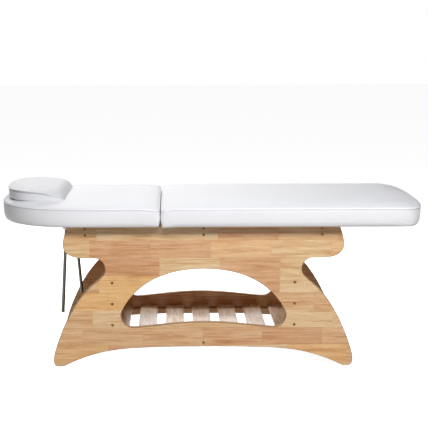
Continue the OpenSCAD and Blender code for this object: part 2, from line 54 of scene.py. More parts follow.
look = Vector((np.sin(YAW) * np.cos(TILT), np.cos(YAW) * np.cos(TILT), -np.sin(TILT)))
level = Vector((np.cos(YAW), -np.sin(YAW), 0))
rise = level.cross(look)
right = level * np.cos(ROLL) + rise * np.sin(ROLL)
up = rise * np.cos(ROLL) - level * np.sin(ROLL)
camera = bpy.data.objects.new("camera", bpy.data.cameras.new("camera"))
camera.data.sensor_width = SENSOR_MM
camera.data.lens = FOCAL_PIXELS / PICTURE_PIXELS * SENSOR_MM
camera.data.shift_x = (PICTURE_PIXELS / 2 - AXIS_PIXEL) / PICTURE_PIXELS
camera.data.clip_end = 60
camera.matrix_world = Matrix.Translation(EYE) @ Matrix((right, up, -look)).transposed().to_4x4()
bpy.context.scene.collection.objects.link(camera)
bpy.context.scene.camera = camera

# --- Studio ----------------------------------------------------------------------------------
# A white studio floor and sweep, a wide soft light beside the camera and one behind the bed. The
# camera sees white all round. Reflections see it only behind the bed on the head's side, and
# fade to dim elsewhere, while the floor keeps the bed's shadow.

WHITE, AMBIENT, AMBIENT_STRENGTH = (1, 1, 1, 1), (0.97, 0.98, 1, 1), 0.11
# The fades are angles from straight behind the bed, in radians, positive towards the foot.
DIM, FOOT_FADE, HEAD_FADE = 0.05, (0.07, 0.24), (-1.4, -0.7)
FLOOR_X, FLOOR_NEAR, FLOOR_FAR = 14, -9, 26
FLOOR_BOUNCE, FLOOR_PAINT, FLOOR_LIFT = (0.34, 0.32, 0.30, 1), (0.9, 0.9, 0.9, 1), 0.86
BACK_WARMTH = (1.0, 0.99, 0.965)


def add(tree, kind, sockets=None, **settings):
    """A shader node with its settings, and each named socket set to a value or linked."""
    node = tree.nodes.new(kind)
    for key, value in settings.items():
        setattr(node, key, value)
    for key, value in (sockets or {}).items():
        if isinstance(value, bpy.types.NodeSocket):
            tree.links.new(value, node.inputs[key])
        else:
            node.inputs[key].default_value = value
    return node


def seen_directly(tree):
    """1 for rays from the camera, off a gloss or through glass, and 0 for diffuse light."""
    path = add(tree, "ShaderNodeLightPath").outputs
    gloss = add(tree, "ShaderNodeMath", {0: path["Is Camera Ray"], 1: path["Is Glossy Ray"]},
                operation="MAXIMUM")
    return add(tree, "ShaderNodeMath", {0: gloss.outputs[0], 1: path["Is Transmission Ray"]},
               operation="MAXIMUM").outputs[0]


def studio_light(name, place, aim, size, share):
    """An area light that lights a facing surface at aim with that share of full white: the
    power is share x pi squared x distance squared."""
    lamp = bpy.data.lights.new(name, "AREA")
    lamp.shape, (lamp.size, lamp.size_y) = "RECTANGLE", size
    away = Vector(place) - Vector(aim)
    lamp.energy = share * np.pi ** 2 * away.length_squared
    light = bpy.data.objects.new(name, lamp)
    turn = away.to_track_quat("Z", "Y").to_matrix().to_4x4()
    light.matrix_world = Matrix.Translation(place) @ turn
    bpy.context.scene.collection.objects.link(light)
    return light


def faded(tree, angle, between, start, end):
    """A smooth step from start to end while the angle goes between two values."""
    return add(tree, "ShaderNodeMapRange", {"Value": angle, "From Min": between[0],
               "From Max": between[1], "To Min": start, "To Max": end},
               interpolation_type="SMOOTHSTEP").outputs[0]


world = bpy.data.worlds.new("studio")
world.use_nodes = True
world.node_tree.nodes.clear()
studio = world.node_tree
ambient = add(studio, "ShaderNodeBackground", {"Color": AMBIENT, "Strength": AMBIENT_STRENGTH})
white = add(studio, "ShaderNodeBackground", {"Color": WHITE, "Strength": 1.0})
view = add(studio, "ShaderNodeTexCoord").outputs["Generated"]
ahead = add(studio, "ShaderNodeSeparateXYZ", {0: view}).outputs
aside = add(studio, "ShaderNodeMath", {0: ahead["X"], 1: ahead["Y"]},
            operation="ARCTAN2").outputs[0]
dimmer = add(studio, "ShaderNodeMath", {0: faded(studio, aside, FOOT_FADE, 1.0, DIM),
             1: faded(studio, aside, HEAD_FADE, DIM, 1.0)}, operation="MINIMUM").outputs[0]
mirrored = add(studio, "ShaderNodeBackground", {"Color": WHITE, "Strength": dimmer})
by_camera = add(studio, "ShaderNodeLightPath").outputs["Is Camera Ray"]
bright = add(studio, "ShaderNodeMixShader", {0: by_camera, 1: mirrored.outputs[0],
             2: white.outputs[0]})
sky = add(studio, "ShaderNodeMixShader", {0: seen_directly(studio), 1: ambient.outputs[0],
          2: bright.outputs[0]})
add(studio, "ShaderNodeOutputWorld", {0: sky.outputs[0]})
bpy.context.scene.world = world

floor_paint = bpy.data.materials.new("studio_floor")
floor_paint.use_nodes = True
paint = floor_paint.node_tree
paint.nodes.clear()
bounce = add(paint, "ShaderNodeBsdfDiffuse", {"Color": FLOOR_BOUNCE})
pale = add(paint, "ShaderNodeBsdfDiffuse", {"Color": FLOOR_PAINT})
lift = add(paint, "ShaderNodeEmission", {"Color": WHITE, "Strength": FLOOR_LIFT})
bright = add(paint, "ShaderNodeAddShader", {0: pale.outputs[0], 1: lift.outputs[0]})
shown = add(paint, "ShaderNodeMixShader", {0: seen_directly(paint), 1: bounce.outputs[0],
            2: bright.outputs[0]})
add(paint, "ShaderNodeOutputMaterial", {0: shown.outputs[0]})
floor_mesh = bpy.data.meshes.new("studio_floor")
floor_mesh.from_pydata([(-FLOOR_X, FLOOR_NEAR, 0), (FLOOR_X, FLOOR_NEAR, 0),
                        (FLOOR_X, FLOOR_FAR, 0), (-FLOOR_X, FLOOR_FAR, 0)], [], [(0, 1, 2, 3)])
floor_mesh.materials.append(floor_paint)
floor = bpy.data.objects.new("studio_floor", floor_mesh)
bpy.context.scene.collection.objects.link(floor)

studio_light("key_light", place=(0.6, -3.45, 3.25), aim=(0, 0, 0.5), size=(2.4, 1.1), share=0.95)
back_light = studio_light("back_light", place=(-0.8, 2.8, 1.95), aim=(0, 0, 0.2),
                          size=(2.2, 0.9), share=0.82)
back_light.data.color = BACK_WARMTH
back_light.visible_glossy = False

# --- Side panels -----------------------------------------------------------------------------
# Two identical boards of finger-jointed rubberwood, 25 mm thick, routed to one outline with an
# oval opening, edges rounded over, and lacquered. Each is drilled with pockets for sunk bolts.

HALF_LENGTH, HEIGHT, ROW_X = 0.671, 0.643, -0.032
OUTER_Y, PANEL_T, PANEL_EDGE_R = 0.2975, 0.025, 0.0032
OUTLINE = [[[.891, 1], [.909, .952], [.923, .91], [.925, .868]],
           [[.925, .868], [.93, .809], [.879, .77], [.79, .77]],
           [[.715, .77], [.675, .765], [.651, .731], [.65, .695]],
           [[.65, .695], [.648, .661], [.674, .635], [.705, .608]],
           [[.705, .608], [.844, .501], [.943, .272], [.987, .118]],
           [[.987, .118], [.994, .09], [1, .065], [1, .044]],
           [[1, .044], [1, .016], [.988, 0], [.969, 0]],
           [[.934, 0], [.879, .031], [.745, .096], [.59, .118]],
           [[.59, .118], [.462, .137], [.224, .141], [0, .141]]]
OPENING = [[[0, .694], [.35, .694], [.499, .505], [.548, .378]],
           [[.548, .378], [.548, .319], [.514, .28], [.461, .28]],
           [[.461, .28], [.35, .286], [.179, .317], [0, .317]]]
END_BOARD_BOLTS = [(x, z) for x in (-.4055, .4055) for z in (.1911, .2875, .3839)]
CROSS_RAIL_BOLTS = [(x, z) for x in (-.522, 0, .522) for z in (.600, .628)]
CLEAT_BOLT = (0, .109)
POCKETS = END_BOARD_BOLTS + CROSS_RAIL_BOLTS + [CLEAT_BOLT]
POCKET_R, POCKET_DEPTH, POCKET_EASE, POCKET_SIDES = 0.006, 0.007, 0.0006, 24
SAME_POINT = 1e-6
# Shares of painted shade per ring, along the rounded edges and in the bolt pockets: the wood is
# darkened there as if in shadow.
EDGE_SHADE_SHARES = np.array([0, 0.9, 1, 1, 1, 0.4, 0.4, 1, 1, 1, 0.9, 0])
POCKET_SHADE_SHARES = np.array([0, 0.5, 0.5, 0.5])


def routed_line(rows, steps=16):
    """The whole outline from its right half. Each row is a curve of four control points a, b,
    c, d: (1-t)^3 a + 3(1-t)^2 t b + 3(1-t) t^2 c + t^3 d, and the left half is its mirror."""
    t = np.linspace(0, 1, steps + 1)[None, :, None]
    a, b, c, d = (np.array(rows, float)[:, i, None] for i in range(4))
    half = ((1 - t) ** 3 * a + 3 * (1 - t) ** 2 * t * b + 3 * (1 - t) * t * t * c + t ** 3 * d)
    half = half.reshape(-1, 2) * (HALF_LENGTH, HEIGHT)
    half = half[np.r_[True, np.hypot(*np.diff(half, axis=0).T) > SAME_POINT]]
    whole = np.vstack([half, half[::-1] * (-1, 1)])
    gap = np.hypot(*(whole - np.roll(whole, 1, 0)).T)
    return whole[gap > SAME_POINT] + (ROW_X, 0)


def inward(loop, turn):
    """Miter direction at each point of a closed loop: the sum of the two side normals over
    1 + their product. turn = 1 points to the right of the direction of travel."""
    before = loop - np.roll(loop, 1, 0)
    before /= np.linalg.norm(before, axis=1)[:, None]
    after = np.roll(before, -1, 0)
    n1, n2 = (np.stack([e[:, 1], -e[:, 0]], 1) * turn for e in (before, after))
    return (n1 + n2) / (1 + (n1 * n2).sum(1))[:, None]


def surface(name, points, faces, flat=()):
    """A mesh piece of points and faces, smooth but for the flat ones."""
    mesh = bpy.data.meshes.new(name)
    mesh.from_pydata(np.asarray(points).tolist(), [], faces)
    smooth = np.ones(len(faces), bool)
    smooth[list(flat)] = False
    mesh.polygons.foreach_set("use_smooth", smooth)
    mesh.update()
    piece = bpy.data.objects.new(name, mesh)
    bpy.context.scene.collection.objects.link(piece)
    return piece


def strip_faces(rows, count, start=0, flip=False):
    """Quads between rows of count points each, every row a closed ring."""
    k, i = np.meshgrid(np.arange(rows - 1), np.arange(count), indexing="ij")
    j = (i + 1) % count
    quads = np.stack([k * count + i, k * count + j, (k + 1) * count + j, (k + 1) * count + i], -1)
    quads = quads.reshape(-1, 4) + start
    return (quads[:, ::-1] if flip else quads).tolist()


def rounded_over(loop, turn, thick, r, steps=5):
    """The edge of a board along a loop: the inset is r(1 - sin a) and the depth r(1 - cos a)
    over a quarter turn at each face. Returns rows of (x, depth, z)."""
    a = np.linspace(0, np.pi / 2, steps + 1)
    inset = np.r_[r * (1 - np.sin(a)), r * (1 - np.sin(a[::-1]))]
    depth = np.r_[r * (1 - np.cos(a)), thick - r * (1 - np.cos(a[::-1]))]
    lean = inward(loop, turn)
    place = loop[None] + lean[None] * inset[:, None, None]
    return np.concatenate([place[..., :1], np.broadcast_to(depth[:, None, None],
                           place[..., :1].shape), place[..., 1:]], -1)


def side_panel(name, side):
    """One board: both rounded edges, two flat faces between them, and the bolt pockets, which are
    rings that step down from the outer face. Each ring carries a share of painted shade in a point
    attribute: the rounded edges darken as if in shadow, and the pockets half as much."""
    edges = [rounded_over(routed_line(OUTLINE), 1, PANEL_T, PANEL_EDGE_R),
             rounded_over(routed_line(OPENING), -1, PANEL_T, PANEL_EDGE_R)]
    a = np.linspace(0, 2 * np.pi, POCKET_SIDES, endpoint=False)
    rings = [(POCKET_R + POCKET_EASE, 0), (POCKET_R, POCKET_EASE), (POCKET_R, POCKET_DEPTH),
             (POCKET_R / 2, POCKET_DEPTH)]
    pockets = [np.stack([np.stack([x + ROW_X + r * np.cos(a), np.full(POCKET_SIDES, depth),
                                   z + r * np.sin(a)], 1) for r, depth in rings])
               for x, z in POCKETS]
    shells = edges + pockets
    starts = np.cumsum([0] + [s.shape[0] * s.shape[1] for s in shells])
    points = np.vstack([s.reshape(-1, 3) for s in shells])
    rim = np.concatenate([np.repeat(EDGE_SHADE_SHARES, s.shape[1]) for s in edges]
                         + [np.repeat(POCKET_SHADE_SHARES, s.shape[1]) for s in pockets])
    faces = []
    for index, (shell, start) in enumerate(zip(shells, starts)):
        faces += strip_faces(shell.shape[0], shell.shape[1], start, flip=(index != 0))
    rounded = len(faces)
    outer = [s[0] for s in shells]
    outer_index = np.concatenate([np.arange(s.shape[1]) + k for s, k in zip(shells, starts)])
    inner = [s[-1] for s in edges]
    inner_index = np.concatenate([np.arange(s.shape[1]) + k + (s.shape[0] - 1) * s.shape[1]
                                  for s, k in zip(edges, starts)])
    for loops, index, front in ((outer, outer_index, True), (inner, inner_index, False)):
        flats = np.array(tessellate_polygon([[Vector((p[0], p[2], 0)) for p in loop]
                                             for loop in loops]))
        tips = points[index[flats]][..., [0, 2]]
        turn = np.cross(tips[:, 1] - tips[:, 0], tips[:, 2] - tips[:, 0])
        wrong = (turn < 0) if front else (turn > 0)
        flats[wrong] = flats[wrong][:, ::-1]
        faces += index[flats].tolist()
    points[:, 1] = side * (OUTER_Y - points[:, 1])
    if side > 0:
        faces = [face[::-1] for face in faces]
    panel = surface(name, points, faces, flat=range(rounded, len(faces)))
    panel.data.attributes.new("rim", "FLOAT", "POINT").data.foreach_set("value", rim)
    return panel


def maths(tree, operation, *values):
    """One Math node."""
    return add(tree, "ShaderNodeMath", dict(enumerate(values)), operation=operation).outputs[0]


def tint(tree, share, first, second):
    """One colour Mix node: the first colour multiplied by the second, by that share."""
    return add(tree, "ShaderNodeMix", {0: share, 6: first, 7: second}, data_type="RGBA",
               blend_type="MULTIPLY").outputs[2]


def spread(tree, value, low, high, to_low, to_high):
    """Map Range from low..high to to_low..to_high, held at its ends."""
    return add(tree, "ShaderNodeMapRange", {"Value": value, "From Min": low, "From Max": high,
               "To Min": to_low, "To Max": to_high}).outputs["Result"]


def ramp(tree, value, stops):
    """Colour ramp with (place, colour) stops."""
    node = add(tree, "ShaderNodeValToRGB", {"Fac": value})
    while len(node.color_ramp.elements) < len(stops):
        node.color_ramp.elements.new(0.5)
    for element, (place, colour) in zip(node.color_ramp.elements, stops):
        element.position, element.color = place, (*colour, 1)
    return node.outputs["Color"]


def finish(name, roughness, **constants):
    """A material with an empty Principled shader whose steady inputs sit on its own sockets."""
    material = bpy.data.materials.new(name)
    material.use_nodes = True
    material.node_tree.nodes.clear()
    shader = add(material.node_tree, "ShaderNodeBsdfPrincipled", {"Roughness": roughness})
    for key, value in constants.items():
        shader.inputs[key.replace("_", " ")].default_value = value
    add(material.node_tree, "ShaderNodeOutputMaterial", {0: shader.outputs[0]})
    return material, material.node_tree, shader


NOISE_RANGE = (0.3, 0.7)
FINGER_W, FINGER_SLOPE, ROW_SHIFT, GRAIN_SHIFT = 0.0035, 1.8, 7.3, 9.0
FIBRE_SHARE, PORE_SHARE, GLUE_SHARE, GLUE_DEPTH = 0.75, 0.5, 0.35, 0.6
WOOD_ROUGHNESS = (0.52, 0.38)
# The last colour is the painted shade on the panels' rounded edges and bolt pockets.
GLUE_LINE, GLUE_BROWN, EDGE_SHADE_BROWN = (0.0002, 0.0007), (0.60, 0.46, 0.34, 1), (0.42, 0.32, 0.24, 1)


def finger_jointed_wood(name, along, across, tones, stave, length, first=0.0, pick=0.0,
                        lacquer=0.12, lacquer_ior=1.5):
    """Staves glued edge to edge and cut to length. The row is the floor of (across - first) /
    stave, and each row starts at a random place. Finger joints shift along by a triangle wave
    of across. Each stave gets its own tone, and its grain is noise drawn out along the stave."""
    material, tree, shader = finish(name, 0.45, Coat_Weight=lacquer, Coat_Roughness=0.2,
                                    Coat_IOR=lacquer_ior)
    xyz = add(tree, "ShaderNodeSeparateXYZ",
              {0: add(tree, "ShaderNodeTexCoord").outputs["Object"]}).outputs
    u, v = xyz[along], maths(tree, "SUBTRACT", xyz[across], first)
    w = xyz[3 - "XYZ".index(along) - "XYZ".index(across)]
    row = maths(tree, "FLOOR", maths(tree, "DIVIDE", v, stave))
    start = add(tree, "ShaderNodeTexWhiteNoise", {"W": maths(tree, "ADD", row, pick)},
                noise_dimensions="1D").outputs["Value"]
    fingers = maths(tree, "MULTIPLY", maths(tree, "PINGPONG", v, FINGER_W), FINGER_SLOPE)
    place = maths(tree, "ADD", maths(tree, "ADD", u, fingers),
                  maths(tree, "MULTIPLY", start, ROW_SHIFT))
    piece = maths(tree, "FLOOR", maths(tree, "DIVIDE", place, length))
    spot = add(tree, "ShaderNodeCombineXYZ", {0: row, 1: piece, 2: pick}).outputs[0]
    chance = add(tree, "ShaderNodeTexWhiteNoise", {0: spot}, noise_dimensions="3D").outputs
    offset = maths(tree, "MULTIPLY", chance["Value"], GRAIN_SHIFT)

    def drawn_out(draw, scale, detail):
        spot = add(tree, "ShaderNodeCombineXYZ", {
            0: maths(tree, "ADD", u, offset), 1: maths(tree, "MULTIPLY", v, draw),
            2: maths(tree, "ADD", maths(tree, "MULTIPLY", w, draw), offset)}).outputs[0]
        return add(tree, "ShaderNodeTexNoise", {"Vector": spot, "Scale": scale, "Detail": detail,
                   "Roughness": 0.62, "Distortion": 0.35}).outputs["Fac"]

    bands = drawn_out(draw=9, scale=5, detail=4)
    streaks = drawn_out(draw=34, scale=4, detail=3)
    fibres = drawn_out(draw=24, scale=36, detail=3)
    pores = drawn_out(draw=22, scale=110, detail=2)
    colour = ramp(tree, chance["Value"], tones)
    colour = tint(tree, 1.0, colour, ramp(tree, bands, [
        (0.30, (0.80, 0.63, 0.48)), (0.42, (0.94, 0.86, 0.78)), (0.53, (1.02, 1.0, 0.97)),
        (0.68, (1.07, 1.13, 1.20))]))
    colour = tint(tree, 1.0, colour, ramp(tree, streaks, [
        (0.33, (0.80, 0.66, 0.54)), (0.45, (0.97, 0.94, 0.91)), (0.56, (1.03, 1.04, 1.05))]))
    colour = tint(tree, FIBRE_SHARE, colour, ramp(tree, fibres, [
        (0.34, (0.80, 0.70, 0.60)), (0.52, (1, 1, 1))]))
    colour = tint(tree, PORE_SHARE, colour, ramp(tree, pores, [
        (0.30, (0.58, 0.47, 0.38)), (0.38, (1, 1, 1))]))
    seam = maths(tree, "MINIMUM", maths(tree, "PINGPONG", v, stave / 2),
                 maths(tree, "PINGPONG", place, length / 2))
    glue = spread(tree, seam, *GLUE_LINE, 1.0, 0.0)
    colour = tint(tree, maths(tree, "MULTIPLY", glue, GLUE_SHARE), colour, GLUE_BROWN)
    # Painted shade: the rounded edges and bolt pockets are darkened by their share, as if in
    # shadow.
    rim = add(tree, "ShaderNodeAttribute", attribute_name="rim").outputs["Fac"]
    colour = tint(tree, rim, colour, EDGE_SHADE_BROWN)
    tree.links.new(colour, shader.inputs["Base Color"])
    tree.links.new(spread(tree, fibres, *NOISE_RANGE, *WOOD_ROUGHNESS),
                   shader.inputs["Roughness"])
    relief = maths(tree, "SUBTRACT", maths(tree, "ADD", fibres, pores),
                   maths(tree, "MULTIPLY", glue, GLUE_DEPTH))
    bump = add(tree, "ShaderNodeBump", {"Height": relief, "Strength": 0.35, "Distance": 0.0002})
    tree.links.new(bump.outputs[0], shader.inputs["Normal"])
    return material


PANEL_TONES = [(0.0, (0.620, 0.345, 0.180)), (0.2, (0.695, 0.445, 0.255)),
               (0.45, (0.715, 0.495, 0.270)), (0.75, (0.765, 0.570, 0.345)),
               (0.86, (0.725, 0.475, 0.265)), (1.0, (0.795, 0.500, 0.215))]
STAVE, STAVE_L, FIRST_STAVE = 0.0795, 0.267, 0.019
# The back panel gets a copy of the wood tinted redder, painting in the warm bounced light on its
# shaded inner face; both boards are the same wood.
WARM_BOUNCE_TINT = (1.05, 0.93, 0.80)
panel_wood = finger_jointed_wood("panel_rubberwood", "X", "Z", PANEL_TONES, STAVE, STAVE_L,
                                 FIRST_STAVE, pick=3.0)
warm_bounce_tones = [(at, tuple(np.multiply(tone, WARM_BOUNCE_TINT))) for at, tone in PANEL_TONES]
warm_bounce_wood = finger_jointed_wood("warm_bounce_rubberwood", "X", "Z", warm_bounce_tones, STAVE, STAVE_L,
                                  FIRST_STAVE)
for side, name, wood in ((-1, "front", panel_wood), (1, "back", warm_bounce_wood)):
    panel = side_panel(name + "_panel", side)
    panel.data.materials.append(wood)
    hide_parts(name + "_side_panel")
    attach(panel, "base")

# --- End boards and rails --------------------------------------------------------------------
# Boards of the same wood that close the shelf space at both ends, and three rails that tie the
# panels together under the bed. They are bolted through the panels into their end grain.


def dress(material, slot, *names):
    """Gives CAD nodes a detailed material in place of their plain one."""
    for name in names:
        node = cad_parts[name]
        if not node.material_slots:
            node.data.materials.append(material)
        for holder in node.material_slots:
            holder.material = material


cross_wood = finger_jointed_wood("cross_rubberwood", "Y", "Z", PANEL_TONES, STAVE, STAVE_L)
dress(cross_wood, "panel_wood", "head_end_board", "foot_end_board", "head_cross_rail",
      "middle_cross_rail", "foot_cross_rail")

# --- Shelf -----------------------------------------------------------------------------------
# Seven pale slats with eased edges, each screwed from above to two cleats. The cleats run along
# the inside of the panels, each held by a bolt and by the end boards.

SLAT_TONES = [(0.0, (0.910, 0.760, 0.635)), (0.5, (0.945, 0.825, 0.715)),
              (1.0, (0.960, 0.870, 0.785))]
SLAT_STAVE, SLAT_STAVE_L = 0.0425, 0.310
slat_wood = finger_jointed_wood("slat_rubberwood", "Y", "X", SLAT_TONES, SLAT_STAVE, SLAT_STAVE_L,
                                lacquer=1.0, lacquer_ior=1.9)
cleat_wood = finger_jointed_wood("cleat_rubberwood", "X", "Z", PANEL_TONES, STAVE, STAVE_L)
dress(slat_wood, "slat_wood", *["shelf_slat_%d" % i for i in range(1, 8)])
dress(cleat_wood, "panel_wood", "shelf_front_cleat", "shelf_back_cleat")

# --- Boards under the cushions ---------------------------------------------------------------
# Two 12 mm birch plywood boards, let into the underside of the cushions. The covers are pulled
# round them and stapled, so only their undersides and the hinge edges show.

PLY_LAYER, PLY_JOINT, PLY_DRAW = 0.0015, (0.0004, 0.0009), (3, 42, 42)
PLY_ROUGHNESS, EDGE_BROWN = (0.62, 0.48), (0.52, 0.42, 0.34, 1)


def birch_plywood(name):
    """Layers of veneer: the edge darkens where the triangle wave of the height is low, and the
    face is noise drawn out along the bed."""
    material, tree, shader = finish(name, 0.55)
    place = add(tree, "ShaderNodeTexCoord").outputs["Object"]
    xyz = add(tree, "ShaderNodeSeparateXYZ", {0: place}).outputs
    layers = spread(tree, maths(tree, "PINGPONG", xyz["Z"], PLY_LAYER), *PLY_JOINT, 0.0, 1.0)
    stretched = add(tree, "ShaderNodeMapping", {"Vector": place, "Scale": PLY_DRAW}).outputs[0]
    figure = add(tree, "ShaderNodeTexNoise", {"Vector": stretched, "Scale": 3, "Detail": 6,
                 "Roughness": 0.6, "Distortion": 0.8}).outputs["Fac"]
    colour = ramp(tree, figure, [(0.3, (0.50, 0.345, 0.200)), (0.5, (0.62, 0.465, 0.295)),
                                 (0.7, (0.68, 0.530, 0.355))])
    upright = add(tree, "ShaderNodeNewGeometry").outputs["Normal"]
    edge = maths(tree, "LESS_THAN", maths(tree, "ABSOLUTE",
                 add(tree, "ShaderNodeSeparateXYZ", {0: upright}).outputs["Z"]), 0.5)
    dark = maths(tree, "MULTIPLY", edge, maths(tree, "SUBTRACT", 1.0, layers))
    colour = tint(tree, dark, colour, EDGE_BROWN)
    tree.links.new(colour, shader.inputs["Base Color"])
    tree.links.new(spread(tree, figure, *NOISE_RANGE, *PLY_ROUGHNESS), shader.inputs["Roughness"])
    bump = add(tree, "ShaderNodeBump", {"Height": figure, "Strength": 0.3, "Distance": 0.0003})
    tree.links.new(bump.outputs[0], shader.inputs["Normal"])
    return material


dress(birch_plywood("birch_plywood"), "plywood", "seat_board", "backrest_board")

# --- Seat cushion ----------------------------------------------------------------------------
# Foam on the seat board in a white vinyl cover: a top panel and a side band sewn together with
# a piping of the same vinyl. The band draws in to a round lower edge that is stapled below.

UNDERSIDE, PIPING_UP, CROWN_UP = 0.6433, 0.0805, 0.0175
HALF_W, HINGE_X, HINGE_GAP = 0.370, -0.222, 0.0034
FOOT_X, FOOT_L, FOOT_POWER, HINGE_R = 0.944, 0.113, 3.0, 0.016
CROWN_W, HINGE_CROWN_W, CROWN_POWER, HINGE_POWER = 0.150, 0.040, 2.3, 1.3
SIDE_DRAW, HINGE_DRAW, DRAW_POWER, WAIST, HINGE_BULGE = 0.019, 0.007, 3.3, 0.004, 0.0022
HINGE_DIP, HINGE_DIP_L, SEAT_DROOP, DROOP_W, DROOP_H = 0.007, 0.045, 0.005, 0.05, 0.03
PIPING_R, PIPING_INSET, PIPING_LIFT, PIPING_SINK, SINK_W = 0.0024, 0.0012, 0.0012, 0.0008, 0.006
BAND_CREASE, BAND_CREASE_W = 0.0024, 0.0012
TOP_CREASE, TOP_CREASE_W, TOP_SEAM_SHADE_SHARE = 0.0045, 0.0022, 0.15
STAPLED_ROWS, SEAM_REACH, BATCHES = 4, 3, 40
CORNER_STEPS, HINGE_STEPS, SEAT_SIDE_STEPS, SEAT_END_STEPS, SEAT_FACES = 6, 74, 100, 160, (143, 80)


def quarter(cx, cy, r, start, steps):
    """A quarter circle about (cx, cy) from the angle start, without its last point."""
    a = np.radians(start + 90 * np.arange(steps) / steps)
    return np.stack([cx + r * np.cos(a), cy + r * np.sin(a)], 1)


def run(x0, y0, x1, y1, steps, pull=0.0):
    """A straight edge without its last point, pulled towards the middle line by a half sine."""
    t = np.arange(steps)[:, None] / steps
    line = (1 - t) * (x0, y0) + t * (x1, y1)
    line[:, 1] -= np.sign(y0) * pull * np.sin(np.pi * t[:, 0])
    return line


def round_end(xc, a, b, power, side, steps):
    """Half a superellipse round the end that side points to, without its last point:
    x = xc + side a |cos t|^(2/power) and y = b |sin t|^(2/power), signed."""
    t = np.radians(90 + 180 * np.arange(steps) / steps)
    return np.stack([xc + side * a * np.abs(np.cos(t)) ** (2 / power),
                     -side * b * np.sign(np.sin(t)) * np.abs(np.sin(t)) ** (2 / power)], 1)


def seat_ring(inset, hinge_inset):
    """The seat's plan, drawn in by an inset, and by one of its own at the hinge: small corners
    at the hinge and half a superellipse at the foot."""
    x0, xc, y = HINGE_X + HINGE_GAP + hinge_inset, FOOT_X - FOOT_L - inset / 2, HALF_W - inset
    pull, h = WAIST * max(1 - max(inset, 0) / SIDE_DRAW, 0), HINGE_R
    ring = np.vstack([quarter(x0 + h, h - y, h, 180, CORNER_STEPS),
                      run(x0 + h, -y, xc, -y, SEAT_SIDE_STEPS, pull),
                      round_end(xc, FOOT_L - inset / 2, y, FOOT_POWER, 1, SEAT_END_STEPS),
                      run(xc, y, x0 + h, y, SEAT_SIDE_STEPS, pull),
                      quarter(x0 + h, y - h, h, 90, CORNER_STEPS),
                      run(x0, y - h, x0, h - y, HINGE_STEPS)])
    return np.roll(ring, -CORNER_STEPS // 2, 0)


def patch(ring, nx, ny):
    """Points inside a closed ring of 2(nx + ny) points: opposite sides blended in both
    directions, less the blend of the four corners. Returns (ny + 1, nx + 1, 2)."""
    south, east = ring[:nx + 1], ring[nx:nx + ny + 1]
    north = ring[nx + ny:2 * nx + ny + 1][::-1]
    west = np.vstack([ring[2 * nx + ny:], ring[:1]])[::-1]
    u, v = np.linspace(0, 1, nx + 1)[None, :, None], np.linspace(0, 1, ny + 1)[:, None, None]
    sides = (1 - v) * south[None] + v * north[None] + (1 - u) * west[:, None] + u * east[:, None]
    return sides - ((1 - u) * (1 - v) * south[0] + u * (1 - v) * south[-1]
                    + (1 - u) * v * north[0] + u * v * north[-1])


def swell(s, power):
    """A superelliptic rise from 0 to 1 while s goes from 0 to 1: (1 - (1 - s)^p)^(1/p)."""
    return (1 - (1 - np.clip(s, 0, 1)) ** power) ** (1 / power)


def crown(d, hinge_d):
    """Height of the crown above the piping at a distance d from it: a rise over the crown's
    width, or the steeper one from the hinge end where that is lower."""
    return CROWN_UP * np.minimum(swell(d / CROWN_W, CROWN_POWER),
                                 swell(hinge_d / HINGE_CROWN_W, HINGE_POWER))


# Rows of the cover from the stapled edge up to the piping, as (inset, inset at the hinge, height
# above the underside). The side is a quarter superellipse: the share drawn in is
# 1 - (1 - t^p)^(1/p) at the share t of the way down. Its rows lie closer together near the
# lower edge, up to the share LOW_SHARE of the height. The last rows are the tuck.
LOW_SHARE, LOW_POWER, LOW_ROWS, HIGH_SHARES, HIGH_ROWS = 0.30, 1.4, 11, (0.36, 0.95), 9
down = 1 - np.r_[LOW_SHARE * np.linspace(0, 1, LOW_ROWS) ** LOW_POWER,
                 np.linspace(*HIGH_SHARES, HIGH_ROWS)]
drawn = 1 - (1 - down ** DRAW_POWER) ** (1 / DRAW_POWER)
ROWS = np.vstack([
    [(0.0446, 0.016, 0), (0.034, 0.011, 0), (0.025, 0.0085, 0)],
    np.column_stack([SIDE_DRAW * drawn, HINGE_DRAW * drawn - HINGE_BULGE * np.sin(np.pi * down),
                     PIPING_UP * (1 - down)]),
    [(0.0004, 0.0004, PIPING_UP - 0.0026), (0.0016, 0.0016, PIPING_UP - 0.0012),
     (0.0022, 0.0022, PIPING_UP)]])
TOP_INSETS = np.array([0.0035, 0.0050, 0.0075, 0.0115, 0.0175, 0.0260])


